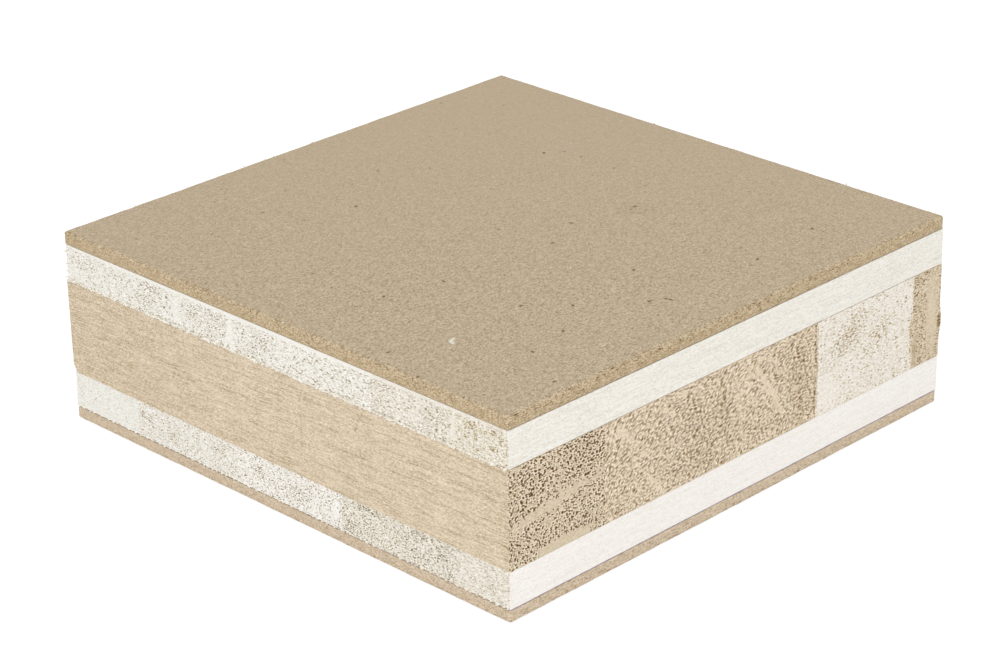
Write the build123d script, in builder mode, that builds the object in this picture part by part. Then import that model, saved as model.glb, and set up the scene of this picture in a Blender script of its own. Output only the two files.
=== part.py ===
from build123d import *
import os

# A sample block of five-ply blockboard, sawn square on all four edges. Millimetres.
# X runs with the grain of the crossbands and Y with the grain of the core laths.
# The origin is the middle of the underside. Left is -X, right +X, near -Y and far +Y.

# The block as the saw left it
block_length = 121.0
block_width = 120.5

# Thickness of each ply and of the glue that holds it
sheet_thickness = 2.5
crossband_thickness = 7.35
core_thickness = 19.7
face_glue = 0.2
core_glue = 0.1

# Widths of the laths as they were ripped
core_lath = 29.35
lower_lath = 29.0
wide_upper_lath = 19.7
narrow_upper_lath = 15.2

# The joint nearest the middle of each ply, from the middle of the block
core_joint = -6.95
lower_joint = -17.45
upper_joint = -6.35

# The soft crossbands stand back from the sheets and the core, and the glue a little more
deep_setback = 0.2
slight_setback = 0.05
glue_setback = 0.1

# Edges of the fibreboard sheets, worn round
sheet_corner = 0.6
outer_arris = 0.45
inner_arris = 0.12

# The lower far corner of the leftmost core lath is knocked off
knock_reach = 1.0
knock_height = 1.6

# The plies from the underside up, and the height at which each one starts
plies = {
    "bottom_face_sheet": sheet_thickness,
    "lower_face_glue": face_glue,
    "lower_crossband": crossband_thickness,
    "lower_core_glue": core_glue,
    "core": core_thickness,
    "upper_core_glue": core_glue,
    "upper_crossband": crossband_thickness,
    "upper_face_glue": face_glue,
    "top_face_sheet": sheet_thickness,
}
base = {}
block_height = 0.0
for ply, thickness in plies.items():
    base[ply] = block_height
    block_height += thickness


def save(piece, name):
    """Label a finished piece and write it under its own name."""
    piece.part.label = name
    export_step(piece.part, f"parts/{name}.step")
    size = piece.part.bounding_box().size
    print(f"{name}: {size.X:.2f} x {size.Y:.2f} x {size.Z:.2f} mm")


def sawn_outline(deep, slight):
    """Draw the block's outline, moved in by deep at the left and far sides and by slight at the others."""
    with Locations(((deep - slight) / 2, (slight - deep) / 2)):
        Rectangle(block_length - deep - slight, block_width - deep - slight)


def face_sheet(name, outer_side):
    """A fibreboard sheet, worn rounder on its outer side than where it meets the crossband."""
    with BuildPart() as sheet:
        with BuildSketch(Plane.XY.offset(base[name])):
            RectangleRounded(block_length, block_width, sheet_corner)
        extrude(amount=plies[name])
        fillet(sheet.faces().sort_by(outer_side)[-1].edges(), outer_arris)
        fillet(sheet.faces().sort_by(outer_side)[0].edges(), inner_arris)
    save(sheet, name)


def glue_line(name):
    """A glue film across the whole block, a little further back than the crossband that it holds."""
    with BuildPart() as film:
        with BuildSketch(Plane.XY.offset(base[name])):
            sawn_outline(deep_setback + glue_setback, slight_setback + glue_setback)
        extrude(amount=plies[name])
    save(film, name)


def lath_edges(joint, before, after, span):
    """Both edges of each lath across a ply: whole laths either side of a joint, and what the saw left."""
    joints = [joint]
    for width in before:
        joints.insert(0, joints[0] - width)
    for width in after:
        joints.append(joints[-1] + width)
    joints = [place for place in joints if abs(place) < span / 2]
    edges = [-span / 2, *joints, span / 2]
    return zip(edges, edges[1:])


def lath(ply, edges, end_plane, length, deep, slight):
    """Lay one lath over-long, with its end drawn between its two edges, and saw it to the outline."""
    start, end = edges
    with BuildPart() as piece:
        with BuildSketch(end_plane):
            with Locations((start, base[ply])):
                Rectangle(end - start, plies[ply], align=Align.MIN)
        extrude(amount=length, both=True)
        with BuildSketch(Plane.XY.offset(base[ply])):
            sawn_outline(deep, slight)
        extrude(amount=plies[ply], mode=Mode.INTERSECT)
    return piece


def crossband(ply, joint, before, after):
    """Laths along X, side by side from the near edge to the far one, a little back from the saw cut."""
    for number, edges in enumerate(lath_edges(joint, before, after, block_width), 1):
        piece = lath(ply, edges, Plane.YZ, block_length, deep_setback, slight_setback)
        save(piece, f"{ply}_lath_{number}")


def knock_off_corner(whole):
    """Break the lower corner of a lath off, at its left and far sides."""
    corner = Vector(-block_length / 2, block_width / 2, base["core"])
    break_face = Plane(
        corner + Vector(knock_reach, 0, 0),
        z_dir=Vector(1 / knock_reach, -1 / knock_reach, 1 / knock_height),
    )
    with BuildPart() as broken:
        add(whole)
        split(bisect_by=break_face, keep=Keep.TOP)
    return broken


def core(joint, before, after):
    """Laths along Y, side by side from the left edge to the right one, flush with the face sheets."""
    for number, edges in enumerate(lath_edges(joint, before, after, block_length), 1):
        piece = lath("core", edges, Plane.XZ, block_width, 0.0, 0.0)
        if number == 1:
            piece = knock_off_corner(piece)
        save(piece, f"core_lath_{number}")


os.makedirs("parts", exist_ok=True)
face_sheet("bottom_face_sheet", -Axis.Z)
glue_line("lower_face_glue")
crossband("lower_crossband", lower_joint, before=[lower_lath], after=2 * [lower_lath])
glue_line("lower_core_glue")
core(core_joint, before=[core_lath], after=2 * [core_lath])
glue_line("upper_core_glue")
crossband(
    "upper_crossband",
    upper_joint,
    before=2 * [wide_upper_lath],
    after=[wide_upper_lath, narrow_upper_lath, narrow_upper_lath],
)
glue_line("upper_face_glue")
face_sheet("top_face_sheet", Axis.Z)
print(f"block: {block_length:.1f} x {block_width:.1f} x {block_height:.2f} mm")
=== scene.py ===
# %% [markdown]
# # A sample block of blockboard
# Blockboard is made like a sandwich. Thick laths of wood lie side by side in the core, thinner laths lie
# across them above and below, and a thin fibreboard sheet closes each face. The sample is sawn square out
# of such a panel, so each ply shows end grain on two sides and long grain on the other two.
#
# The solids are already here, at their real size. This lesson gives them sawn, worn and fibrous surfaces.

# %% Load the glued-up block
import math
import random

import bmesh
import bpy
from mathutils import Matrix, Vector


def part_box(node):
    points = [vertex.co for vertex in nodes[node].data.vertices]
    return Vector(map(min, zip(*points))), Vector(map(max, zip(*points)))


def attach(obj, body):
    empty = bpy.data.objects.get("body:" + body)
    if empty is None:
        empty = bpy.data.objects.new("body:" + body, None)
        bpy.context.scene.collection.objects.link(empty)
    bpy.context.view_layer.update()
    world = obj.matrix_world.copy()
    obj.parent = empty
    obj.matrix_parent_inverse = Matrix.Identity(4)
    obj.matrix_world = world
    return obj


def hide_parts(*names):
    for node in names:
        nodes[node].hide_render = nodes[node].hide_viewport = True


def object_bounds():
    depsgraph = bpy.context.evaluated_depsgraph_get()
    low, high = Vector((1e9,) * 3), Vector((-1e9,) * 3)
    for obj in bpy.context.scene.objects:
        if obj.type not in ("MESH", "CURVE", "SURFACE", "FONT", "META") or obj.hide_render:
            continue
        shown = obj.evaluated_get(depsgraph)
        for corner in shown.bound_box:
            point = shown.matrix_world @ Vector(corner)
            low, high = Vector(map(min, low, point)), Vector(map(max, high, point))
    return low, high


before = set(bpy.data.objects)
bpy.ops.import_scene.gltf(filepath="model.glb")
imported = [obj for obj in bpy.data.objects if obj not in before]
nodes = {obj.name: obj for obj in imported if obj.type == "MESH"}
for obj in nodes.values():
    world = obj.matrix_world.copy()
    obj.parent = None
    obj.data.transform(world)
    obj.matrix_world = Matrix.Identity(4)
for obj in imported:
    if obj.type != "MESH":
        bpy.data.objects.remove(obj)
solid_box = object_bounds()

MM = 0.001
TO_MM = 1 / MM
low_corner, high_corner = Vector(solid_box[0]), Vector(solid_box[1])
print("pieces in the block:", len(nodes))
print("size in mm:", [round(side / MM, 2) for side in high_corner - low_corner])

# %% [markdown]
# ## Camera
# The photo was taken from above the near corner with a long lens. Such a lens stands far away, so edges
# hardly converge. Its place and turn were worked out from the seven corners that show.

# %% Set up the camera
LENS = 110.15
CAMERA_PLACE = Vector((-388.5, -386.6, 266.9)) * MM
CAMERA_TURN = (65.450, 0.877, -45.425)

bpy.ops.object.select_all(action="DESELECT")
bpy.ops.object.camera_add(location=CAMERA_PLACE, rotation=[math.radians(turn) for turn in CAMERA_TURN])
camera = bpy.context.object
camera.name = "long_lens"
camera.data.lens = LENS
camera.data.sensor_width = 36
camera.data.clip_start = 0.01
bpy.context.scene.camera = camera
print("camera stands", round(CAMERA_PLACE.length / MM), "mm away")

# %% [markdown]
# ## Modelling helpers
# Every piece starts as a cube of its own size and place, as a sawmill starts from a squared blank. The
# helpers add the blank, cut its faces into a fine grid and pick edges or corners by where they lie. The
# grid lets a saw cut look rough later, because a flat face has no corners to move.


# %% Blanks and grids
def deselect_all():
    """Leave edit mode and select nothing, because an operator works on all that is selected."""
    if bpy.context.mode != "OBJECT":
        bpy.ops.object.mode_set(mode="OBJECT")
    bpy.ops.object.select_all(action="DESELECT")


def add_blank(name, low, high):
    """Add a cube between two corners, with its place and size kept in its mesh."""
    deselect_all()
    bpy.ops.mesh.primitive_cube_add(size=1, location=(low + high) / 2)
    blank = bpy.context.object
    blank.name = blank.data.name = name
    blank.scale = high - low
    bpy.ops.object.transform_apply(location=True, rotation=True, scale=True)
    return blank


def pick(piece, kind, test):
    """In edit mode, select the vertices, edges or faces that pass a test, and nothing else."""
    bpy.context.view_layer.objects.active = piece
    bpy.ops.object.mode_set(mode="EDIT")
    bpy.ops.mesh.select_mode(type=kind)
    bpy.ops.mesh.select_all(action="DESELECT")
    mesh = bmesh.from_edit_mesh(piece.data)
    parts = {"VERT": mesh.verts, "EDGE": mesh.edges, "FACE": mesh.faces}[kind]
    chosen = [part for part in parts if test(part)]
    for part in chosen:
        part.select_set(True)
    mesh.select_flush_mode()
    bmesh.update_edit_mesh(piece.data)
    return len(chosen)


def cut_grid(piece, axis, spacing):
    """Subdivide every long edge that runs along one axis, so that even cuts go across it."""
    sides = [vertex.co[axis] for vertex in piece.data.vertices]
    cuts = round((max(sides) - min(sides)) / spacing) - 1

    def runs_along(edge):
        run = edge.verts[1].co - edge.verts[0].co
        return abs(run[axis]) > 0.9 * run.length and run.length > 1.5 * spacing

    if cuts > 0 and pick(piece, "EDGE", runs_along):
        bpy.ops.mesh.subdivide(number_cuts=cuts)
    deselect_all()


def is_sharp(edge):
    """An edge between two faces that turn by more than 45 degrees."""
    return len(edge.link_faces) == 2 and edge.calc_face_angle(0.0) > math.radians(45)


# %% [markdown]
# ## Wear
# A sawn or rubbed surface is uneven at several scales at once. The Displace modifier moves each corner of
# the grid along its normal by a cloud pattern, and a vertex group keeps it to what the saw touched. It is
# applied at once, so the outline gets rough too, which a bump map can't do.


# %% Roughen what the saw touched
def cloud_texture(name, grain_mm):
    """A soft cloud pattern whose lumps are about as wide as grain_mm."""
    texture = bpy.data.textures.new(name, "CLOUDS")
    texture.noise_scale = grain_mm * MM
    texture.noise_depth = 1
    return texture


LONG_WAVES = cloud_texture("long waves", 6.0)
SHORT_WAVES = cloud_texture("short waves", 0.9)


def roughen(piece, test, texture, depth_mm, mid_level=0.5):
    """Displace the vertices that pass a test by a cloud pattern, and keep the result."""
    deselect_all()
    group = piece.vertex_groups.new(name="sawn")
    group.add([v.index for v in piece.data.vertices if test(v)], 1.0, "REPLACE")
    wear = piece.modifiers.new("wear", "DISPLACE")
    wear.texture = texture
    wear.texture_coords = "LOCAL"
    wear.strength = depth_mm * MM
    wear.mid_level = mid_level
    wear.vertex_group = group.name
    bpy.context.view_layer.objects.active = piece
    bpy.ops.object.modifier_apply(modifier=wear.name)
    piece.vertex_groups.clear()


def near_outline(reach_mm):
    """A test for vertices within reach of the block's four sawn faces."""
    reach = reach_mm * MM

    def test(vertex):
        across = min(vertex.co.x - low_corner.x, high_corner.x - vertex.co.x)
        along = min(vertex.co.y - low_corner.y, high_corner.y - vertex.co.y)
        return min(across, along) < reach

    return test


def finish_piece(piece):
    """Shade the round edges smooth and keep the flat faces crisp."""
    deselect_all()
    piece.select_set(True)
    bpy.context.view_layer.objects.active = piece
    bpy.ops.object.shade_smooth_by_angle(angle=math.radians(40))
    print(piece.name, "has", len(piece.data.polygons), "faces")


# %% [markdown]
# ## Face sheets
# A saw leaves the edges of a fibreboard sheet furry, and handling rounds the outer arris, the line where
# face and edge meet. The vertical corners are bevelled first and then the rims, so that the round turns
# the corner evenly. Two sizes of waves then wear the arris.

# %% Model the two face sheets
SHEET_CORNER = 0.6 * MM
OUTER_ARRIS = 0.45 * MM
INNER_ARRIS = 0.12 * MM
SHEET_GRID = 0.9 * MM
SHEET_WEAR_REACH_MM, SHEET_WEAR_MM = 0.5, 0.10
HAIR = 0.001 * MM


def model_face_sheet(node, outer_is_up):
    """Cut a sheet from a blank, round its corners and rims, and wear its edges."""
    low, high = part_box(node)
    sheet = add_blank("sawn_" + node, low, high)
    for axis in range(3):
        cut_grid(sheet, axis, SHEET_GRID)
    outline_x, outline_y = high.x - HAIR, high.y - HAIR

    def at_corner(edge):
        return is_sharp(edge) and all(abs(v.co.x) > outline_x and abs(v.co.y) > outline_y for v in edge.verts)

    def on_rim(edge):
        return is_sharp(edge) and all(abs(v.co.z - level) < HAIR for v in edge.verts)

    pick(sheet, "EDGE", at_corner)
    bpy.ops.mesh.bevel(offset=SHEET_CORNER, segments=4, affect="EDGES")
    outer, inner = (high.z, low.z) if outer_is_up else (low.z, high.z)
    for level, radius, segments in ((outer, OUTER_ARRIS, 4), (inner, INNER_ARRIS, 2)):
        pick(sheet, "EDGE", on_rim)
        bpy.ops.mesh.bevel(offset=radius, segments=segments, affect="EDGES")
    for waves in (LONG_WAVES, SHORT_WAVES):
        roughen(sheet, near_outline(SHEET_WEAR_REACH_MM), waves, SHEET_WEAR_MM, mid_level=0.6)
    finish_piece(sheet)
    return sheet


top_sheet = model_face_sheet("top_face_sheet", outer_is_up=True)
bottom_sheet = model_face_sheet("bottom_face_sheet", outer_is_up=False)

# %% [markdown]
# ## Laths
# A lath is a plain stick, and only what the saw cut through shows: its two ends, and one long side of the
# first and the last lath of a ply. So every lath gets the grid on its ends, and only those along their
# length. A hair's breadth of bevel gives each glued joint its fine line. The first lath of the core has
# lost a lower corner, which a bisecting plane takes off.

# %% Model the laths
LATH_GRID = 0.6 * MM
LONG_GRID = 0.8 * MM
LATH_ARRIS = 0.04 * MM
KNOCK_REACH = 1.0 * MM
KNOCK_HEIGHT = 1.6 * MM


def grain_axis(node):
    """The core's grain runs along Y, and a crossband's along X."""
    return 1 if node.startswith("core") else 0


def shows_long_side(node):
    """Whether a lath is the first or the last of its ply, so that the saw opened its long side."""
    low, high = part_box(node)
    across = 1 - grain_axis(node)
    edge = 0.5 * MM
    return low[across] < low_corner[across] + edge or high[across] > high_corner[across] - edge


def model_lath(node):
    """Shape one lath from a blank, with a grid wherever the saw cut through it."""
    low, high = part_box(node)
    along = grain_axis(node)
    lath = add_blank("sawn_" + node, low, high)
    pick(lath, "EDGE", lambda edge: True)
    bpy.ops.mesh.bevel(offset=LATH_ARRIS, segments=1, affect="EDGES")
    cut_grid(lath, 1 - along, LATH_GRID)
    cut_grid(lath, 2, LATH_GRID)
    if shows_long_side(node):
        cut_grid(lath, along, LONG_GRID)
    return lath


def knock_off_corner(lath):
    """Break off the lower corner at the left and the far side, and close the break."""
    corner = Vector((low_corner.x, high_corner.y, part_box("core_lath_1")[0].z))
    pick(lath, "VERT", lambda vertex: True)
    bpy.ops.mesh.bisect(
        plane_co=corner + Vector((KNOCK_REACH, 0, 0)),
        plane_no=Vector((-1 / KNOCK_REACH, 1 / KNOCK_REACH, -1 / KNOCK_HEIGHT)).normalized(),
        use_fill=True,
        clear_outer=True,
    )
    deselect_all()


laths = {node: model_lath(node) for node in sorted(nodes) if "_lath_" in node}
knock_off_corner(laths["core_lath_1"])
print("laths:", len(laths))

# %% [markdown]
# ## Sawn surfaces
# On the left side the blade's cut through the lower crossband leans a little, so the bottom of that ply
# stands out further than its top. The last core lath is swollen by a torn knot on its corner. Both are
# made with proportional editing, which moves what lies around a picked spot less and less with the
# distance. Then every sawn face gets two sizes of waves.

# %% Lean, swell and roughen the laths
SAW_LEAN = 0.15 * MM
KNOT_SWELL = 0.3 * MM
KNOT_PLACE = Vector((high_corner.x, low_corner.y, 18.0 * MM))
KNOT_SIZE, KNOT_REACH = 0.9 * MM, 3.5 * MM
SAWN_REACH_MM = 0.35


def push(piece, test, move, reach, falloff):
    """Move the vertices that pass a test, and what lies within reach of them by a falling share."""
    pick(piece, "VERT", test)
    bpy.ops.transform.translate(
        value=move, use_proportional_edit=True, proportional_edit_falloff=falloff, proportional_size=reach
    )
    deselect_all()


for node, lath in laths.items():
    low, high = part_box(node)
    if node.startswith("lower_crossband"):
        foot = low + Vector((1.5, 0, 1.5)) * LATH_ARRIS
        push(lath, lambda v: v.co.x < foot.x and v.co.z < foot.z, (-SAW_LEAN, 0, 0), high.z - low.z, "LINEAR")
    if node == "core_lath_5":
        swell = (KNOT_SWELL * 0.7, -KNOT_SWELL * 0.7, 0)
        push(lath, lambda v: (v.co - KNOT_PLACE).length < KNOT_SIZE, swell, KNOT_REACH, "SMOOTH")
    roughen(lath, near_outline(SAWN_REACH_MM), LONG_WAVES, 0.04)
    roughen(lath, near_outline(SAWN_REACH_MM), SHORT_WAVES, 0.07)
    finish_piece(lath)

# %% [markdown]
# ## Saw burr
# Where the blade leaves a soft crossband, it drags the ends of the fibres over the harder ply below,
# where they stay as a row of small torn tongues. One tongue is drawn out of a block by extruding its
# lower end three times, a little narrower each time. Copies hang along the seam, each with its own width,
# drop and turn.

# %% Model one torn tongue
def model_tongue():
    """A tongue 0.6 mm wide that hangs from the block's left side, with its root at the origin."""
    tongue = add_blank("saw_burr", Vector((0.02, -0.3, 0.0)) * MM, Vector((0.20, 0.3, 0.22)) * MM)
    for slide, drop, width in ((-0.16, 0.12, 0.9), (-0.07, 0.20, 0.7), (0.02, 0.14, 0.3)):
        pick(tongue, "FACE", lambda face: face.normal.z < -0.7)
        bpy.ops.mesh.extrude_region_move(TRANSFORM_OT_translate={"value": (slide * MM, 0, -drop * MM)})
        bpy.ops.transform.resize(value=(0.8, width, 1))
        deselect_all()
    return tongue


tongue = model_tongue()
print("a tongue has", len(tongue.data.polygons), "faces")

# %% [markdown]
# Duplicates are placed by their own location, turn and scale. Applying the transform puts those places
# into the mesh, and joining makes one piece of them. The seed makes the random row the same every time.


# %% Copies and joining
def scatter(master, places):
    """Copy a small shape to each place, join the copies and drop the master."""
    copies = []
    for location, turn, scale in places:
        deselect_all()
        master.select_set(True)
        bpy.context.view_layer.objects.active = master
        bpy.ops.object.duplicate(linked=False)
        copy = bpy.context.object
        copy.location, copy.rotation_euler, copy.scale = location, turn, scale
        copies.append(copy)
    deselect_all()
    for copy in copies:
        copy.select_set(True)
    bpy.context.view_layer.objects.active = copies[0]
    bpy.ops.object.transform_apply(location=True, rotation=True, scale=True)
    bpy.ops.object.join()
    piece = bpy.context.object
    name = master.name
    bpy.data.objects.remove(master)
    piece.name = piece.data.name = name
    return piece


# %% Hang the burr along both seams
chance = random.Random(7)
LEFT_X = low_corner.x
BURR_STEP = 0.55 * MM


def burr_row(height, least, most, step=BURR_STEP):
    """Places for tongues in a row along the left side of the block, at one height."""
    places = []
    reach = low_corner.y + 0.5 * MM
    while reach < high_corner.y - 0.4 * MM:
        drop = chance.uniform(least, most) * (1.4 if chance.random() < 0.12 else 1.0)
        lift = chance.uniform(-0.03, 0.05) * MM
        turn = (chance.uniform(-0.35, 0.35), 0, chance.uniform(-0.1, 0.1))
        places.append(((LEFT_X, reach, height + lift), turn, (1, chance.uniform(0.7, 1.5), drop)))
        reach += step * chance.uniform(0.6, 1.4)
    return places


core_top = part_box("core_lath_1")[1].z
sheet_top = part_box("bottom_face_sheet")[1].z
rows = burr_row(core_top + 0.10 * MM, 0.1, 0.8) + burr_row(sheet_top + 0.30 * MM, 0.1, 0.5, 3 * BURR_STEP)
for height, length in ((36.0, 0.9), (33.4, 0.7), (30.6, 1.0), (31.8, 0.5)):
    rows.append(((LEFT_X, high_corner.y - 0.3 * MM, height * MM), (0.3, 1.1, 0), (1, 0.5, length)))
saw_burr = scatter(tongue, rows)
print("torn tongues:", len(rows))
finish_piece(saw_burr)

# %% [markdown]
# ## Loose fibres
# The saw and handling tease single fibres out of the felt at the arris of the top sheet. A fibre is a
# thin rod, bent and tapered by extruding its tip three times. Its copies point outwards, each at its own
# angle.

# %% Model one fibre
FIBRE_THICKNESS = 0.14 * MM
FIBRE_ROOT = 0.9985


def model_fibre():
    """A bent fibre half a millimetre long, that runs from the origin along X and rises a little."""
    half = FIBRE_THICKNESS / 2
    fibre = add_blank("loose_fibres", Vector((-2 * half, -half, -half)), Vector((half, half, half)))
    for step, rise in ((0.16, 0.02), (0.15, 0.05), (0.12, 0.09)):
        pick(fibre, "FACE", lambda face: face.normal.x > 0.6)
        bpy.ops.mesh.extrude_region_move(TRANSFORM_OT_translate={"value": (step * MM, 0, rise * MM)})
        bpy.ops.transform.resize(value=(1, 0.8, 0.8))
        deselect_all()
    return fibre


fibre = model_fibre()
print("a fibre has", len(fibre.data.polygons), "faces")

# %% Lay fibres along the arrises
def fibres_on_rim(height, counts):
    """Places for fibres on one rim, with a number of fibres for each turn of the side in degrees."""
    places = []
    for side_turn, count in counts.items():
        outward = math.radians(side_turn)
        normal = Vector((math.cos(outward), math.sin(outward), 0))
        run = Vector((-normal.y, normal.x, 0))
        for _ in range(count):
            slide = chance.uniform(-0.97, 0.97)
            spot = Vector((
                (normal.x * FIBRE_ROOT + run.x * slide) * high_corner.x,
                (normal.y * FIBRE_ROOT + run.y * slide) * high_corner.y,
                height + chance.uniform(-0.12, 0.06) * MM,
            ))
            turn = (0, chance.uniform(-0.9, 0.7), outward + chance.uniform(-1.3, 1.3))
            thickness = chance.uniform(0.4, 0.9)
            places.append((spot, turn, (chance.uniform(0.4, 1.3), thickness, thickness)))
    return places


FIBRE_COUNTS = {180: 40, -90: 40, 0: 8, 90: 8}
rim = fibres_on_rim(high_corner.z - 0.15 * MM, FIBRE_COUNTS)
loose_fibres = scatter(fibre, rim)
print("loose fibres:", len(rim))
finish_piece(loose_fibres)

# %% [markdown]
# ## Materials
# Nothing here is a picture. Each finish is worked out from the place of a point in the block. A vessel of
# the wood is a long thin tube, so it shows as a dot where the saw crossed it and as a dash where the saw
# ran along it, and the pattern fits together on the end and the side of a lath.
#
# A few helpers keep the node code short. A socket given as a value is linked, and anything else is set.
#
# Most finishes are built in two steps. First one number, the tone, is added up from all that makes a
# point darker or lighter, with PLAIN for the plain surface. Then a colour ramp turns the tone into the
# colours of that wood or board. Mixing the colours step by step would turn brown shadows grey.


# %% Shader helpers
PLAIN = 0.65
ORIGIN = (0.0, 0.0, 0.0)


def screen_colour(red, green, blue):
    """A colour in the usual 0 to 255 screen levels, as the linear values that a shader works in."""
    shares = [level / 255 for level in (red, green, blue)]
    return (*[s / 12.92 if s <= 0.04045 else ((s + 0.055) / 1.055) ** 2.4 for s in shares], 1.0)


def add_node(tree, kind, inputs=None, **options):
    """Add one shader node, set its options, and link or set its inputs."""
    made = tree.nodes.new("ShaderNode" + kind)
    made.location = (190 * (len(tree.nodes) % 14), -260 * (len(tree.nodes) // 14))
    for option, value in options.items():
        setattr(made, option, value)
    for socket, value in (inputs or {}).items():
        if isinstance(value, bpy.types.NodeSocket):
            tree.links.new(value, made.inputs[socket])
        else:
            made.inputs[socket].default_value = value
    return made


def calculate(tree, operation, *values):
    """One number worked out from one, two or three others."""
    return add_node(tree, "Math", dict(enumerate(values)), operation=operation).outputs[0]


def times(tree, value, factor):
    """One number times another."""
    return calculate(tree, "MULTIPLY", value, factor)


def minus(tree, value, less):
    """One number less another."""
    return calculate(tree, "SUBTRACT", value, less)


def add_times(tree, value, factor, start):
    """A start and, added to it, one number times another."""
    return calculate(tree, "MULTIPLY_ADD", value, factor, start)


def remap(tree, value, low, high, new_low=0.0, new_high=1.0, smooth=False):
    """Stretch a range of numbers to another one, and hold it there."""
    kind = "SMOOTHSTEP" if smooth else "LINEAR"
    inputs = {0: value, 1: low, 2: high, 3: new_low, 4: new_high}
    return add_node(tree, "MapRange", inputs, interpolation_type=kind).outputs[0]


def sway(tree, value, amount, middle):
    """A noise from 0 to 1 as a smaller or larger swing around a middle."""
    return add_times(tree, minus(tree, value, 0.5), amount, middle)


def mix_numbers(tree, share, first, second):
    """Between two numbers by a share from 0 to 1."""
    return add_node(tree, "Mix", {0: share, 2: first, 3: second}, data_type="FLOAT").outputs[0]


def mix_colours(tree, share, first, second):
    """Between two colours by a share from 0 to 1."""
    return add_node(tree, "Mix", {0: share, 6: first, 7: second}, data_type="RGBA").outputs[2]


def palette(tree, tone, colours):
    """The colour of a tone from 0 to 1: of a hole, a shadow, the plain surface and a raised fibre."""
    ramp = add_node(tree, "ValToRGB", {0: tone})
    stops = ramp.color_ramp.elements
    stops[0].color, stops[1].color = screen_colour(*colours[0]), screen_colour(*colours[3])
    for place, colour in zip((0.3, PLAIN), colours[1:3]):
        stops.new(place).color = screen_colour(*colour)
    return ramp.outputs[0]


def scale_by(tree, vector, amount):
    """A colour or a place times one number."""
    return add_node(tree, "VectorMath", {0: vector, 3: amount}, operation="SCALE").outputs[0]


def stretch(tree, vector, factors):
    """A place with each of its three axes stretched by its own factor."""
    return add_node(tree, "VectorMath", {0: vector, 1: factors}, operation="MULTIPLY").outputs[0]


def jitter(tree, place, fineness, reach):
    """A place moved about by a cloud pattern, by up to about half of reach each way."""
    clouds = add_node(tree, "TexNoise", {"Vector": place, "Scale": fineness, "Detail": 1.0}).outputs["Color"]
    centred = add_node(tree, "VectorMath", {0: clouds, 1: (0.5, 0.5, 0.5)}, operation="SUBTRACT").outputs[0]
    shift = scale_by(tree, centred, reach)
    return add_node(tree, "VectorMath", {0: shift, 1: place}, operation="ADD").outputs[0]


def noise(tree, place, fineness, detail=2.0):
    """Soft random clouds from 0 to 1, with about one lump in every 1 / fineness."""
    return add_node(tree, "TexNoise", {"Vector": place, "Scale": fineness, "Detail": detail}).outputs["Fac"]


def split(tree, vector):
    """The three numbers of a place or a colour."""
    return list(add_node(tree, "SeparateXYZ", {0: vector}).outputs)


def join(tree, x, y, z):
    """A place made of three numbers."""
    return add_node(tree, "CombineXYZ", {0: x, 1: y, 2: z}).outputs[0]


# %% Start a node group, and place one in a material
def new_group(name, inputs, outputs):
    """An empty group with named inputs, whose starting values give their kinds, and named number outputs."""
    tree = bpy.data.node_groups.new(name, "ShaderNodeTree")
    for label, value in inputs.items():
        kind = "NodeSocketFloat" if isinstance(value, float) else "NodeSocketVector"
        tree.interface.new_socket(label, in_out="INPUT", socket_type=kind).default_value = value
    for label in outputs:
        kind = "NodeSocketVector" if label in ("Section", "Round") else "NodeSocketFloat"
        tree.interface.new_socket(label, in_out="OUTPUT", socket_type=kind)
    return tree, tree.nodes.new("NodeGroupInput").outputs, tree.nodes.new("NodeGroupOutput").inputs


def place_group(tree, group, **values):
    """Place a group in a material and give it this material's values."""
    return add_node(tree, "Group", values, node_tree=group).outputs


# %% [markdown]
# ### The grain
# A lath is never cut quite along its fibres. The first group leans the pattern, so that fibres run out of
# the long side and show as dashes, and lets it wander a little. X goes across the lath, Y along it and Z
# up, in millimetres, and Y starts at the sawn end that faces the camera.

# %% Group: lean of the grain
grain_lean, given, result = new_group(
    "lean of the grain", {"Place": ORIGIN, "Lean": ORIGIN, "Wander": 0.0}, ["Section"]
)
along = split(grain_lean, given["Place"])[1]
inputs = {0: along, 1: given["Lean"], 2: given["Place"]}
leaned = add_node(grain_lean, "VectorMath", inputs, operation="MULTIPLY_ADD").outputs[0]
grain_lean.links.new(jitter(grain_lean, leaned, 0.06, given["Wander"]), result["Section"])

# %% [markdown]
# ### Growth rings
# A tree grows outwards in rings, so a point in a lath is best described by how far it is from the heart
# of the tree and how far round. The heart lies outside the lath, and each lath has its own.

# %% Group: growth rings
growth_rings, given, result = new_group(
    "growth rings", {"Section": ORIGIN, "Heart": ORIGIN, "Reach": 60.0, "Uneven": 1.5}, ["Round"]
)
inputs = {0: given["Section"], 1: given["Heart"]}
from_heart = add_node(growth_rings, "VectorMath", inputs, operation="SUBTRACT").outputs[0]
across, along, up = split(growth_rings, from_heart)
flat = stretch(growth_rings, from_heart, (1.0, 0.0, 1.0))
distance = add_node(growth_rings, "VectorMath", {0: flat}, operation="LENGTH").outputs["Value"]
unevenness = minus(growth_rings, noise(growth_rings, given["Section"], 0.12), 0.5)
distance = add_times(growth_rings, unevenness, given["Uneven"], distance)
arc = times(growth_rings, calculate(growth_rings, "ARCTAN2", across, up), given["Reach"])
growth_rings.links.new(join(growth_rings, arc, distance, along), result["Round"])
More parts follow.
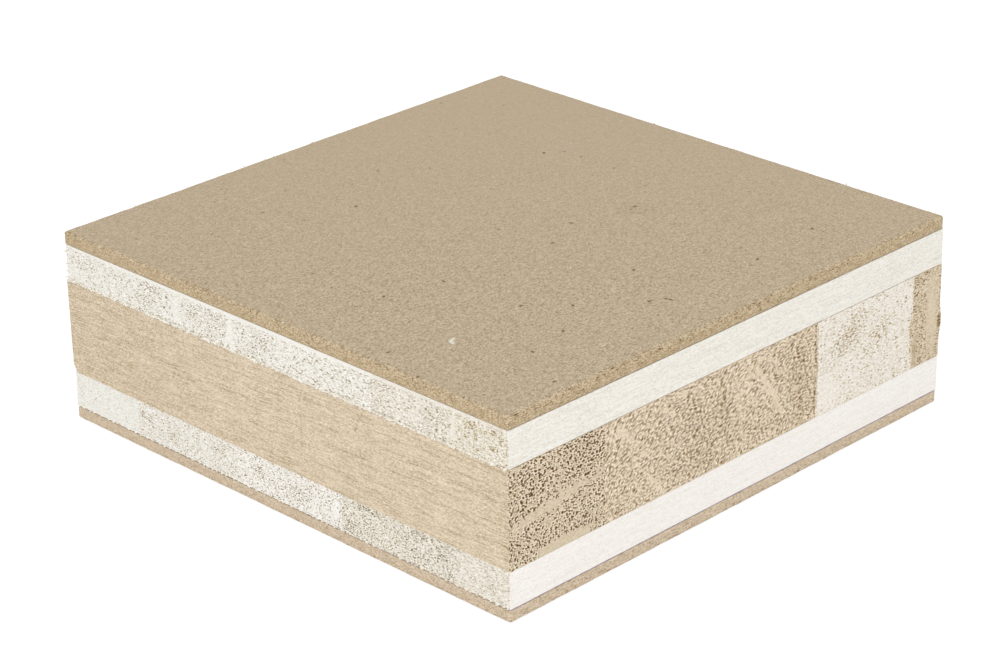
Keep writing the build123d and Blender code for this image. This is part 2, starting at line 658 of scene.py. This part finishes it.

# %% [markdown]
# ### Vessels
# Vessels are the tubes that carry sap. A flat Voronoi pattern strews one dot in each cell, and because it
# ignores the length of the lath, every dot is a tube through the whole lath. The cell's own random colour
# sets how wide and how dark its vessel is and whether there is one at all. A little jitter keeps the dots
# from being round, and the flatness draws them out along the growth ring. A lighter ring round each dot
# is a painted highlight.

# %% Group: vessels
vessels, given, result = new_group(
    "vessels",
    {"Round": ORIGIN, "Fineness": 1.6, "Flatness": 1.5, "Size": 0.3, "Amount": 0.8},
    ["Vessel", "Painted_Highlight"],
)
loose = jitter(vessels, stretch(vessels, given["Round"], (1.0, 1.0, 0.15)), 2.0, 0.18)
arc, outward, along = split(vessels, loose)
cell_arc = times(vessels, arc, given["Fineness"])
flat_fineness = times(vessels, given["Fineness"], given["Flatness"])
cell_outward = times(vessels, outward, flat_fineness)
inputs = {"Vector": join(vessels, cell_arc, cell_outward, 0.0), "Scale": 1.0}
cells = add_node(vessels, "TexVoronoi", inputs, voronoi_dimensions="2D").outputs
width, presence, tone = split(vessels, cells["Color"])
size = times(vessels, given["Size"], add_times(vessels, width, 0.7, 0.65))
inner, outer = times(vessels, size, 0.65), times(vessels, size, 1.15)
highlight_end = times(vessels, size, 2.0)
dot = remap(vessels, cells["Distance"], inner, outer, 1.0, 0.0, smooth=True)
around = remap(vessels, cells["Distance"], outer, highlight_end, 1.0, 0.0, smooth=True)
there = remap(vessels, minus(vessels, given["Amount"], presence), 0.0, 0.08)
dark = times(vessels, there, add_times(vessels, tone, 0.6, 0.4))
vessels.links.new(times(vessels, dot, dark), result["Vessel"])
# The ring just outside each dot is a painted highlight.
painted_highlight = times(vessels, minus(vessels, around, dot), there)
vessels.links.new(painted_highlight, result["Painted_Highlight"])

# %% [markdown]
# ### Torn fibres
# Between the vessels the saw leaves bundles of fibres torn at different depths. A bundle is one Voronoi
# cell with one random tone. The saw drags bundles sideways, so a cell is flatter than it is wide. On a
# long side, fibres show as faint lines, for which a noise is drawn out along the grain.

# %% Group: torn fibres
torn_fibres, given, result = new_group(
    "torn fibres", {"Section": ORIGIN, "Fineness": 3.2, "Flatness": 2.4, "Length": 1.6}, ["Tone", "Line"]
)
across, along, up = split(torn_fibres, given["Section"])
flattened = times(torn_fibres, up, given["Flatness"])
shortened = calculate(torn_fibres, "DIVIDE", along, given["Length"])
loose = jitter(torn_fibres, join(torn_fibres, across, shortened, flattened), 1.8, 0.15)
bundles = add_node(torn_fibres, "TexVoronoi", {"Vector": loose, "Scale": given["Fineness"]}).outputs
torn_fibres.links.new(split(torn_fibres, bundles["Color"])[0], result["Tone"])
drawn_out = stretch(torn_fibres, given["Section"], (1.0, 0.05, 1.1))
torn_fibres.links.new(noise(torn_fibres, drawn_out, 2.8, 3.0), result["Line"])

# %% [markdown]
# ### Patches
# Real wood and board are never even. A patch is a soft ellipse at a chosen place with a ragged rim. It
# makes a denser or paler zone in a lath, a strip or spot of painted shade at a joint between plies, and a
# stain, a scratch or a fleck on the face sheet.

# %% Group: patch
patch, given, result = new_group(
    "patch",
    {"Place": ORIGIN, "Centre": ORIGIN, "Size": (1.0, 1.0, 1.0), "Turn": ORIGIN, "Ragged": 0.5},
    ["Mask"],
)
inputs = {0: given["Place"], 1: given["Centre"], 2: given["Turn"], 3: given["Size"]}
local = add_node(patch, "Mapping", inputs, vector_type="TEXTURE").outputs[0]
distance = add_node(patch, "VectorMath", {0: local}, operation="LENGTH").outputs["Value"]
rag = minus(patch, noise(patch, local, 2.5, 3.0), 0.5)
distance = add_times(patch, rag, given["Ragged"], distance)
patch.links.new(remap(patch, distance, 0.35, 1.0, 1.0, 0.0, smooth=True), result["Mask"])

# %% [markdown]
# ### Wood
# One function makes the wood of every lath, because they differ only in their values. It first turns the
# place of a point into millimetres across, along and up the lath. Then it adds up the tone: broad
# streaks, patches and scars, a few of them painted shade, the torn fibres, and last the vessels with a
# painted highlight round each. Two palettes turn the tone into the colours of a long side and of a sawn end.


# %% Material helpers
def new_material(name, roughness):
    """A material with a Principled shader, whose constant values are set on its own sockets."""
    material = bpy.data.materials.new(name)
    material.use_nodes = True
    shader = material.node_tree.nodes["Principled BSDF"]
    shader.inputs["Roughness"].default_value = roughness
    shader.inputs["Specular IOR Level"].default_value = 0.25
    return material, material.node_tree, shader


def paint(tree, shader, tint, tone, depth_mm):
    """Give a material its colour, and let its tone raise and sink the surface."""
    tree.links.new(tint, shader.inputs["Base Color"])
    bump = add_node(tree, "Bump", {"Height": tone, "Distance": depth_mm * MM, "Strength": 0.4})
    tree.links.new(bump.outputs[0], shader.inputs["Normal"])


def ply_place(tree, node):
    """Millimetres across, along and up a ply, from the left end of the side that shows its end grain."""
    coordinates = add_node(tree, "TexCoord").outputs
    if grain_axis(node) == 1:
        shift, turn = (-low_corner.x * TO_MM, -low_corner.y * TO_MM, 0.0), 0.0
    else:
        shift, turn = (high_corner.y * TO_MM, -low_corner.x * TO_MM, 0.0), math.radians(90)
    inputs = {0: coordinates["Object"], 1: shift, 2: (0.0, 0.0, turn), 3: (TO_MM, TO_MM, TO_MM)}
    place = add_node(tree, "Mapping", inputs, vector_type="POINT").outputs[0]
    facing = split(tree, coordinates["Normal"])[grain_axis(node)]
    return place, remap(tree, calculate(tree, "ABSOLUTE", facing), 0.6, 0.8)


def wood(node, side, end, heart, clumps=0.8, fineness=1.5, flatness=2.1, size=0.42, amount=0.75, strength=1.0,
         torn=0.45, fibre_fineness=3.0, length=1.1, side_vessels=0.14, side_torn=0.42, lines=0.4,
         lean=(0.045, 0.0, -0.03), streaks=0.06, patches=(), scars_and_painted_shade=()):
    """The wood of one lath. Side and end are the palettes of its long side and of its sawn end."""
    material, tree, shader = new_material("wood_of_" + node, 0.8)
    place, on_end = ply_place(tree, node)
    lean_back = tuple(-part for part in lean)
    section = place_group(tree, grain_lean, Place=place, Lean=lean_back, Wander=0.3)["Section"]
    rings = place_group(tree, growth_rings, Section=section, Heart=(heart[0], 0.0, heart[1]))
    drawn_out = stretch(tree, section, (1.0, 0.05, 1.0))
    more = sway(tree, noise(tree, drawn_out, 0.35, 2.0), clumps, amount)
    tone = sway(tree, noise(tree, drawn_out, 0.5, 3.0), streaks, PLAIN)
    for across, up, wide, tall, turn, extra, shift in patches:
        zone = place_group(
            tree, patch, Place=section, Centre=(across, 0.0, up), Size=(wide, 15.0, tall),
            Turn=(0.0, -math.radians(turn), 0.0), Ragged=0.6,
        )["Mask"]
        more = add_times(tree, zone, extra, more)
        tone = add_times(tree, zone, shift, tone)
    for along, up, long, tall, turn, shift in scars_and_painted_shade:
        zone = place_group(
            tree, patch, Place=place, Centre=(0.0, along, up), Size=(5.0, long, tall),
            Turn=(math.radians(turn), 0.0, 0.0), Ragged=0.5,
        )["Mask"]
        tone = add_times(tree, zone, shift, tone)
    holes = place_group(
        tree, vessels, Round=rings["Round"], Fineness=fineness, Flatness=flatness, Size=size, Amount=more
    )
    fibres = place_group(tree, torn_fibres, Section=section, Fineness=fibre_fineness, Length=length)
    end_torn = remap(tree, more, amount - 0.9, amount, 0.4 * torn, torn)
    tone = sway(tree, fibres["Tone"], mix_numbers(tree, on_end, side_torn, end_torn), tone)
    tone = sway(tree, fibres["Line"], mix_numbers(tree, on_end, lines, 0.0), tone)
    depth = mix_numbers(tree, on_end, side_vessels, strength)
    # Each vessel's ring is lightened: a painted highlight.
    tone = add_times(tree, holes["Painted_Highlight"], times(tree, depth, 0.3), tone)
    tone = add_times(tree, holes["Vessel"], times(tree, depth, -1.0), tone)
    tint = mix_colours(tree, on_end, palette(tree, tone, side), palette(tree, tone, end))
    paint(tree, shader, tint, tone, 0.10)
    return material


# %% [markdown]
# The core is a tan wood with open vessels, apart from its paler fourth lath. A palette is the colour of a
# hole, of a shadow, of the plain surface and of a raised fibre. A patch is its place across and up the
# ply, its half width and half height, its turn in degrees, how many more vessels it has and how much
# lighter it is. A scar is a mark on the left side, written in the same way from its place along the
# grain, without the vessels. The long strip at the top of the left side, listed with the scars, is painted
# shade under the upper crossband.

# %% Values for the core laths
DARK_END = ((92, 60, 0), (132, 98, 4), (216, 200, 174), (246, 231, 208))
TAN_END = ((98, 62, 0), (142, 108, 34), (226, 209, 184), (255, 242, 220))
TAN_SIDE = ((120, 94, 52), (166, 144, 108), (216, 199, 173), (244, 229, 207))
CREAM_END = ((140, 108, 46), (186, 163, 116), (243, 237, 227), (255, 252, 245))
CREAM_SIDE = ((150, 122, 76), (190, 174, 146), (230, 222, 208), (248, 243, 233))
TAN = dict(side=TAN_SIDE, end=TAN_END)
DARK = dict(side=TAN_SIDE, end=DARK_END)
CREAM = dict(side=CREAM_SIDE, end=CREAM_END)
core_woods = {
    "core_lath_1": dict(
        DARK, heart=(14, -45), fineness=1.7, flatness=1.35, size=0.385, strength=1.8,
        amount=0.74, patches=(
            (19, 26, 7, 6, 10, 0.3, -0.10), (4, 24.5, 6, 5, 10, 0.1, -0.05),
            (8, 19, 13, 1.5, 8, -0.7, 0.02), (20, 20.8, 8, 1, 8, -0.5, 0.02),
            (14, 10.9, 9.5, 1.5, 0, -1.5, 0), (8, 12.3, 5, 0.35, 12, 0.8, -0.20),
            (17, 12.6, 5.5, 0.35, -4, 0.8, -0.20), (0.4, 20, 0.8, 12, 0, 0.4, -0.10),
        ),
        scars_and_painted_shade=(
            (38, 25.6, 0.45, 1.9, 20, -0.16), (37.2, 27.4, 0.45, 0.8, -30, -0.14),
            (53, 20, 0.5, 8, 0, -0.07), (51.5, 18, 0.4, 6, 5, 0.05),
            # The long strip at height 29.9 is painted shade along the top of the left side, under the upper
            # crossband.
            (110, 20, 34, 18, 0, -0.04), (60, 29.9, 90, 0.45, 0, -0.14),
        ),
    ),
    "core_lath_2": dict(TAN, heart=(66, -36), fineness=0.95, flatness=3.9, size=0.38, strength=0.9, patches=(
        (28, 27, 6, 1.6, -55, -0.5, 0.04), (33, 22, 7, 1, -50, -0.3, 0.03),
        (37.5, 13, 6, 1.2, -50, -0.6, 0.05), (48, 20, 6, 10, 0, 0.15, -0.04),
        (52.5, 15, 1.5, 6, 0, 0.3, -0.08),
    )),
    "core_lath_3": dict(TAN, heart=(96, -36), fineness=0.92, flatness=4, size=0.38, strength=0.85, patches=(
        (56, 21, 1.8, 9, 8, 0.3, -0.10), (62, 24, 3, 6, 0, -0.2, 0.04),
        (69, 21, 12, 1.3, -56, -0.6, 0.04), (78, 20, 4, 10, 0, 0.15, -0.07),
        (82.5, 20, 0.5, 14, 0, 0.3, -0.15),
    )),
    "core_lath_4": dict(CREAM, heart=(100, -40), fineness=1.2, flatness=3, amount=0.2, strength=0.6, patches=(
        (92, 24, 8, 4, 30, 0.7, -0.06), (101, 21, 7, 3, 30, 0.5, -0.04),
        (86, 14, 5, 5, 0, -0.2, 0.04), (111.9, 17, 0.6, 8, 0, 0, -0.2),
        (83.05, 20, 0.3, 14, 0, 0, -0.25),
    )),
    "core_lath_5": dict(
        DARK, heart=(112, -40), fineness=1.3, flatness=2.8, amount=0.45, strength=0.6, patches=(
            (118.5, 20, 2.5, 12, 0, -0.7, 0.03), (113.2, 13.5, 0.9, 5, 0, -0.9, -0.12),
            (120.6, 18, 0.9, 2.2, 0, 0.2, -0.30),
        ),
    ),
}

# %% [markdown]
# The crossbands are a white soft wood. Its long side is smooth, and its ends are specked, less or more
# from one lath to the next. The long side of the lower ply and the end of its third lath get lighter
# copies of the white palettes, which is painted light from below. Places across run from the far end of
# the left side to the near corner.

# %% Values for the crossband laths
WHITE_END = ((120, 98, 50), (184, 171, 141), (239, 236, 228), (255, 253, 249))
# A lighter copy of the white end palette, for a lower crossband: painted light from below.
END_WITH_PAINTED_LIGHT = ((120, 98, 50), (186, 173, 144), (246, 243, 237), (255, 254, 251))
GREY_END = ((100, 82, 42), (160, 147, 114), (233, 227, 215), (254, 251, 242))
GOLD_END = ((120, 88, 20), (176, 154, 100), (231, 225, 213), (252, 248, 238))
BARE_END = ((160, 148, 122), (200, 193, 177), (239, 237, 229), (253, 252, 247))
WHITE_SIDE = ((176, 166, 148), (214, 208, 196), (242, 238, 228), (254, 252, 245))
# A lighter copy of the white side palette, for the lower crossbands: painted light from below.
SIDE_WITH_PAINTED_LIGHT = ((202, 194, 182), (230, 225, 216), (249, 245, 239), (255, 253, 250))
WHITE = dict(
    side=WHITE_SIDE, end=WHITE_END, fineness=1.8, flatness=2, size=0.38, amount=0.45, strength=0.6, torn=0.5,
    side_vessels=0.08, side_torn=0.4, lines=0.5, streaks=0.04, lean=(0.02, 0, -0.01), clumps=1, length=1.3,
)
LOW_WHITE_WITH_PAINTED_LIGHT = dict(WHITE, side=SIDE_WITH_PAINTED_LIGHT, end=END_WITH_PAINTED_LIGHT, strength=0.75)
CLEAN_TOP = (60, 37.1, 90, 0.8, 0, -1, 0.06)
# The next strip darkens the lowest part of each upper crossband: painted shade at its joint with the core.
PAINTED_SHADE_FOOT = (60, 30, 90, 0.7, 0, 0.2, -0.07)
crossband_woods = {
    "upper_crossband_lath_7": dict(WHITE, heart=(30, -40), amount=0.3, strength=0.4, patches=(
        (6, 34, 5, 2, 25, 0.3, -0.03), (15, 35, 2.5, 1.6, 0, 0.3, -0.03),
        (3, 32, 4, 2.5, 0, -0.3, 0.02),
    )),
    "upper_crossband_lath_6": dict(WHITE, heart=(34, -60), patches=(
        (25, 35.5, 5, 1.6, 0, 0.3, -0.04), (24, 32.5, 5, 2, 20, 0.3, -0.04),
    )),
    "upper_crossband_lath_5": dict(WHITE, heart=(60, -30), patches=(
        (33, 33, 1.5, 6, 0, -0.4, 0.04), (38, 34, 2.5, 2.5, 0, 0.4, -0.05),
        (43.5, 34, 3, 4, 0, 0.3, -0.04),
    )),
    "upper_crossband_lath_4": dict(WHITE, heart=(74, -40), patches=(
        (48.5, 33, 1.5, 6, 0, -0.5, 0.05), (56, 33, 5, 2.5, 45, 0.4, -0.05),
        (64, 34, 3, 5, 0, -0.1, 0.03),
    )),
    "upper_crossband_lath_3": dict(WHITE, heart=(80, -80), strength=0.55, amount=0.5),
    "upper_crossband_lath_2": dict(WHITE, heart=(98, -60), end=GREY_END, strength=0.42, patches=(
        (95, 33, 6, 5, 0, -0.1, 0.03), (102, 33, 4, 5, 0, 0.25, -0.03),
    )),
    "upper_crossband_lath_1": dict(WHITE, heart=(105, -20), end=GOLD_END, amount=0.55, strength=0.5, patches=(
        (111.5, 35.5, 1.4, 0.7, -40, 1, -0.20), (112.5, 33.8, 0.6, 1.6, 10, 1, -0.20),
        (116.8, 35.6, 1, 0.6, 20, 1, -0.20), (118.6, 34.8, 0.6, 1.4, 0, 1, -0.20),
        # The two dark patches at height 29.9 are painted shade under the ragged foot of this crossband.
        (117, 32.6, 1.6, 0.7, 0, 0.8, -0.15), (111.8, 29.9, 1.6, 0.35, 0, 0.2, -0.50),
        (119, 29.9, 0.9, 0.35, 0, 0.2, -0.50), (107, 33.5, 1, 5, 0, -0.6, 0.05),
    )),
    "lower_crossband_lath_5": dict(
        LOW_WHITE_WITH_PAINTED_LIGHT, heart=(20, -60), amount=0.2, torn=0.35, strength=0.5, end=BARE_END
    ),
    "lower_crossband_lath_4": dict(LOW_WHITE_WITH_PAINTED_LIGHT, heart=(44, -60), end=WHITE_END, strength=0.5, patches=(
        (21, 7.6, 1.2, 1.2, 0, 0.5, -0.12), (23.5, 6.8, 1.5, 1.5, 0, 0.4, -0.08),
        (30, 5.8, 1.8, 1.8, 0, 0.4, -0.08), (43.5, 7.5, 3, 1.6, 0, 0.3, -0.06),
    )),
    "lower_crossband_lath_3": dict(LOW_WHITE_WITH_PAINTED_LIGHT, heart=(76, -60), patches=(
        (55, 7, 2, 1.5, 0, 0.5, -0.08), (67, 6.5, 5, 2.5, 20, 0.3, -0.04),
        (76, 6.5, 1.2, 3, 0, -0.4, 0.05),
    )),
    "lower_crossband_lath_2": dict(LOW_WHITE_WITH_PAINTED_LIGHT, heart=(96, -60), amount=0.55, end=GREY_END, patches=(
        (84.5, 9.4, 5.5, 0.8, 0, 0.4, -0.10), (99, 9.4, 4, 0.8, 0, 0.4, -0.10),
        (79.5, 4, 2, 1.4, 0, 0.3, -0.10), (103.5, 7.5, 2, 2.5, 0, 0.3, -0.08),
    )),
    "lower_crossband_lath_1": dict(LOW_WHITE_WITH_PAINTED_LIGHT, heart=(130, -60), amount=0.3, end=GREY_END, strength=0.3),
}

# %% Give each lath its wood
lath_woods = {**core_woods, **crossband_woods}
for node, lath in laths.items():
    recipe = dict(lath_woods[node])
    if node.startswith("upper"):
        recipe["patches"] = (*recipe.get("patches", ()), CLEAN_TOP, PAINTED_SHADE_FOOT)
    lath.data.materials.append(wood(node, **recipe))
saw_burr.data.materials.append(wood("saw_burr", **dict(WHITE, heart=(40.0, -30.0), amount=0.2)))
print("woods:", len(lath_woods))

# %% [markdown]
# ### Fibreboard
# The board is a pressed felt of short wood fibres laid every way in its plane. Noise stretched along
# several directions gives the fibres, and a Voronoi pattern the dark flecks of bark. Saw and handling rub
# the arris to a warmer, looser band, which follows the distance from the arris over the face and down the
# edge alike.

# %% Group: fibre felt
felt, given, result = new_group(
    "fibre felt", {"Place": ORIGIN}, ["Grit", "Mottle", "Fibre", "Shadow", "Fleck", "Speck"]
)
fibre, shadow = None, None
for turn in (12, 74, 133):
    inputs = {0: given["Place"], 2: (0.0, 0.0, math.radians(turn)), 3: (0.7, 3.4, 3.4)}
    turned = add_node(felt, "Mapping", inputs, vector_type="POINT").outputs[0]
    layer = noise(felt, turned, 1.0, 2.0)
    fibre = layer if fibre is None else calculate(felt, "MAXIMUM", fibre, layer)
    shadow = layer if shadow is None else calculate(felt, "MINIMUM", shadow, layer)
felt.links.new(remap(felt, fibre, 0.60, 0.74), result["Fibre"])
felt.links.new(remap(felt, shadow, 0.36, 0.24), result["Shadow"])
felt.links.new(noise(felt, given["Place"], 0.8, 4.0), result["Mottle"])
loose = jitter(felt, given["Place"], 1.5, 0.6)
clots = add_node(felt, "TexVoronoi", {"Vector": stretch(felt, loose, (1.0, 1.0, 2.2)), "Scale": 4.0}).outputs
felt.links.new(split(felt, clots["Color"])[0], result["Grit"])
for fineness, share, radius, label in ((0.36, 0.45, 0.16, "Fleck"), (1.1, 0.45, 0.30, "Speck")):
    spots = add_node(felt, "TexVoronoi", {"Vector": loose, "Scale": fineness}).outputs
    radii = remap(felt, split(felt, spots["Color"])[0], 1.0 - share, 1.0, 0.0, radius)
    spot = remap(felt, minus(felt, spots["Distance"], radii), -0.08, 0.02, 1.0, 0.0)
    felt.links.new(spot, result[label])


# %% Fibreboard material
def fibreboard(node, face_palette, edge_palette, outer_is_up, grit, marks=()):
    """The board of one face sheet with its worn arris, and palettes for its face and its edges."""
    material, tree, shader = new_material("board_of_" + node, 0.85)
    coordinates = add_node(tree, "TexCoord").outputs
    place = scale_by(tree, coordinates["Object"], TO_MM)
    fibres = place_group(tree, felt, Place=place)
    face = remap(tree, calculate(tree, "ABSOLUTE", split(tree, coordinates["Normal"])[2]), 0.5, 0.9)
    across, along, up = split(tree, place)
    from_side = minus(tree, high_corner.x * TO_MM, calculate(tree, "ABSOLUTE", across))
    from_front = minus(tree, high_corner.y * TO_MM, calculate(tree, "ABSOLUTE", along))
    inwards = calculate(tree, "MINIMUM", from_side, from_front)
    outer_level = (high_corner.z if outer_is_up else low_corner.z) * TO_MM
    depth = calculate(tree, "ABSOLUTE", minus(tree, up, outer_level))
    from_rim = join(tree, inwards, depth, 0.0)
    from_arris = add_node(tree, "VectorMath", {0: from_rim}, operation="LENGTH").outputs["Value"]
    ragged = sway(tree, fibres["Mottle"], 2.0, from_arris)
    band = remap(tree, ragged, 1.3, 0.4, smooth=True)
    tone = sway(tree, fibres["Mottle"], 0.12, PLAIN)
    smoothness = remap(tree, calculate(tree, "ADD", across, along), -50.0, 90.0, 0.9, 0.22)
    swing = times(tree, add_times(tree, band, 0.3, smoothness), grit)
    tone = sway(tree, fibres["Grit"], swing, tone)
    tone = add_times(tree, fibres["Fibre"], times(tree, swing, 0.5), tone)
    tone = add_times(tree, fibres["Shadow"], times(tree, swing, -0.7), tone)
    tone = add_times(tree, fibres["Fleck"], -0.45, tone)
    specks = times(tree, fibres["Speck"], add_times(tree, band, 0.3, 0.08))
    tone = minus(tree, tone, specks)
    share = mix_numbers(tree, face, 1.0, times(tree, band, 0.5))
    tint = mix_colours(tree, share, palette(tree, tone, face_palette), palette(tree, tone, edge_palette))
    for x, y, long, wide, turn, share, colour in marks:
        mask = place_group(
            tree, patch, Place=place, Size=(long, wide, 1.0), Turn=(0.0, 0.0, math.radians(turn)), Ragged=0.5,
            Centre=(x + low_corner.x * TO_MM, y + low_corner.y * TO_MM, outer_level),
        )["Mask"]
        tint = mix_colours(tree, times(tree, mask, share), tint, screen_colour(*colour))
    paint(tree, shader, tint, tone, 0.08)
    return material


# %% [markdown]
# The top face has been handled. It carries a chip that shows white, a long light scratch, a few loose
# fibres, dark flecks of bark and faint pink and brown stains. Each mark is written as its place from the
# near corner, its half length and half width, its turn, its strength and its colour.

# %% Marks on the top face
PALE, WHITE_CHIP, BARK, PINK, BROWN = (
    (226, 212, 188), (232, 228, 214), (112, 86, 60), (206, 170, 158), (158, 136, 106)
)
top_marks = (
    (15, 28.5, 1.3, 0.6, 70, 0.85, WHITE_CHIP), (15.8, 29.2, 1.5, 0.4, 20, 0.85, WHITE_CHIP),
    (38.2, 105.5, 5.4, 0.16, 2, 0.5, PALE), (30.7, 109.6, 0.9, 0.16, 30, 0.7, PALE),
    (51.1, 23.1, 1.2, 0.22, 60, 0.8, PALE), (27.9, 43.6, 1.3, 0.22, -30, 0.7, PALE),
    (32.4, 7.7, 1.4, 0.22, 10, 0.7, PALE), (38.9, 14.5, 1, 0.22, 10, 0.7, PALE),
    (97, 78, 6, 5, 20, 0.14, PINK), (101, 88, 4.5, 3.5, 0, 0.12, PINK),
    (111, 82, 4, 3, 0, 0.10, PINK), (83.4, 47, 5.5, 4.5, 0, 0.12, BROWN),
    *(
        (x, y, 0.75, 0.42, turn, 0.85, BARK)
        for x, y, turn in (
            (98.7, 14.7, 30), (52.1, 14.7, 0), (54.9, 13.2, 80), (55.2, 12.3, 80), (20.6, 52, 20),
            (33, 48.9, 80), (47.1, 87.9, 10), (93, 80.7, 45), (84, 47.4, 0), (69.5, 50.8, 120),
            (41.2, 23.7, 50), (59.9, 46.6, 0), (60.7, 26.5, 40), (34.6, 30.5, 0), (31.8, 17.2, 20),
            (21.8, 15.1, 70), (80.2, 12.8, 30), (15.6, 3.9, 0), (0.9, 22.6, 20), (4.4, 33.7, 0),
        )
    ),
)

# %% Board the two face sheets
TOP_FACE = ((122, 100, 66), (159, 140, 110), (188, 170, 142), (212, 195, 170))
TOP_EDGE = ((98, 66, 28), (144, 120, 82), (189, 169, 135), (220, 200, 169))
# The bottom sheet's palettes are a pinker board than the top's, and also lighter, which is painted light from
# below.
LOW_FACE_WITH_PAINTED_LIGHT = ((132, 108, 76), (168, 150, 122), (196, 178, 152), (216, 200, 176))
LOW_EDGE_WITH_PAINTED_LIGHT = ((122, 92, 62), (172, 153, 126), (208, 189, 163), (229, 211, 188))
top_sheet.data.materials.append(
    fibreboard("top_face_sheet", TOP_FACE, TOP_EDGE, outer_is_up=True, grit=0.75, marks=top_marks)
)
bottom_sheet.data.materials.append(
    fibreboard("bottom_face_sheet", LOW_FACE_WITH_PAINTED_LIGHT, LOW_EDGE_WITH_PAINTED_LIGHT, outer_is_up=False, grit=0.8)
)
loose_fibres.data.materials.append(
    fibreboard("loose_fibres", TOP_EDGE, TOP_EDGE, outer_is_up=True, grit=0.5)
)
print("marks on the top face:", len(top_marks))

# %% [markdown]
# ### Glue
# The glue sets as a thin dull film. It shows as a dark line, because it stands a little further back than
# the wood. The film under the core has taken up resin and turned yellow, and the lowest one has a purple
# tinge.


# %% Glue material
def glue_material(name, dark, light):
    """Set glue between two colours, with grit of wood in it."""
    material, tree, shader = new_material(name, 0.6)
    place = scale_by(tree, add_node(tree, "TexCoord").outputs["Object"], TO_MM)
    share = remap(tree, noise(tree, place, 1.2, 3.0), 0.35, 0.65)
    tint = mix_colours(tree, share, screen_colour(*dark), screen_colour(*light))
    tree.links.new(tint, shader.inputs["Base Color"])
    return material


brown_glue = glue_material("brown_glue", (138, 122, 104), (176, 160, 138))
glues = {
    "upper_face_glue": brown_glue,
    "upper_core_glue": brown_glue,
    "lower_core_glue": glue_material("yellow_glue", (206, 172, 100), (248, 222, 158)),
    "lower_face_glue": glue_material("purple_glue", (138, 124, 158), (184, 170, 190)),
}
for node, glue in glues.items():
    for slot in nodes[node].material_slots:
        slot.material = glue

# %% [markdown]
# ## Seating the pieces
# Each sheet and lath stands for one solid. Every piece rides on the block's one body.

# %% Seat each piece in the frame
for node, lath in laths.items():
    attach(lath, "root")
    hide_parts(node)
for sheet, node in ((top_sheet, "top_face_sheet"), (bottom_sheet, "bottom_face_sheet")):
    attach(sheet, "root")
    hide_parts(node)
for piece, slot in ((saw_burr, "crossband_wood"), (loose_fibres, "fibreboard")):
    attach(piece, "root")

# %% [markdown]
# ## Studio
# The block stands on a sheet of white paper in even light. For camera rays the paper also glows a little,
# so that it turns pure white all round, and only the soft shadow at the foot of the block is left. The
# glow lights nothing.


# %% Floor
def grey(level):
    """A grey from 0 for black to 1 for white."""
    return (level, level, level, 1.0)


FLOOR_SIZE = 6.0
GLOW = 0.8
PAPER_WHITE = 0.82
PAPER_SHARE = 0.35

deselect_all()
bpy.ops.mesh.primitive_plane_add(size=FLOOR_SIZE)
floor = bpy.context.object
floor.name = "studio_floor"
paper = bpy.data.materials.new("white_paper")
paper.use_nodes = True
tree = paper.node_tree
plain = tree.nodes["Principled BSDF"]
plain.inputs["Base Color"].default_value = grey(PAPER_WHITE)
plain.inputs["Roughness"].default_value = 0.9
dim = add_node(tree, "BsdfDiffuse", {"Color": grey(PAPER_WHITE * PAPER_SHARE)})
glow = add_node(tree, "Emission", {"Color": grey(1.0), "Strength": GLOW})
glowing = add_node(tree, "AddShader", {0: dim.outputs[0], 1: glow.outputs[0]})
path = add_node(tree, "LightPath").outputs
seen = calculate(tree, "MAXIMUM", path["Is Camera Ray"], path["Is Glossy Ray"])
seen = calculate(tree, "MAXIMUM", seen, path["Is Transmission Ray"])
shown = add_node(tree, "MixShader", {0: seen, 1: plain.outputs[0], 2: glowing.outputs[0]})
tree.links.new(shown.outputs[0], tree.nodes["Material Output"].inputs["Surface"])
floor.data.materials.append(paper)

# %% World
ROOM_LIGHT = 0.86
world = bpy.data.worlds.new("white_room")
bpy.context.scene.world = world
world.use_nodes = True
tree = world.node_tree
room = tree.nodes["Background"]
room.inputs["Color"].default_value = grey(1.0)
room.inputs["Strength"].default_value = ROOM_LIGHT
white = add_node(tree, "Background", {"Color": grey(1.0), "Strength": 1.0})
path = add_node(tree, "LightPath").outputs
seen = calculate(tree, "MAXIMUM", path["Is Camera Ray"], path["Is Glossy Ray"])
sky = add_node(tree, "MixShader", {0: seen, 1: room.outputs[0], 2: white.outputs[0]})
tree.links.new(sky.outputs[0], tree.nodes["World Output"].inputs["Surface"])

# %% [markdown]
# The room gives nearly all the light. One soft lamp adds the last part from the left, so that the left
# side is a little brighter than the right one, and dents and torn fibres throw small shadows. A square
# lamp of this power, at this distance, lights a surface that faces it by KEY_SHARE of full white.

# %% Key light
KEY_SHARE = 0.28
KEY_DISTANCE = 1.2
key_place = Vector((-0.72, -0.56, 0.43)).normalized() * KEY_DISTANCE
deselect_all()
bpy.ops.object.light_add(type="AREA", location=key_place)
key_light = bpy.context.object
key_light.name = "key_light"
key_light.data.size = 0.6
key_light.data.energy = KEY_SHARE * math.pi**2 * KEY_DISTANCE**2
key_light.rotation_euler = (-key_place).to_track_quat("-Z", "Y").to_euler()
bpy.context.scene.view_settings.view_transform = "Standard"
print("the key light gives", round(key_light.data.energy, 2), "watts")
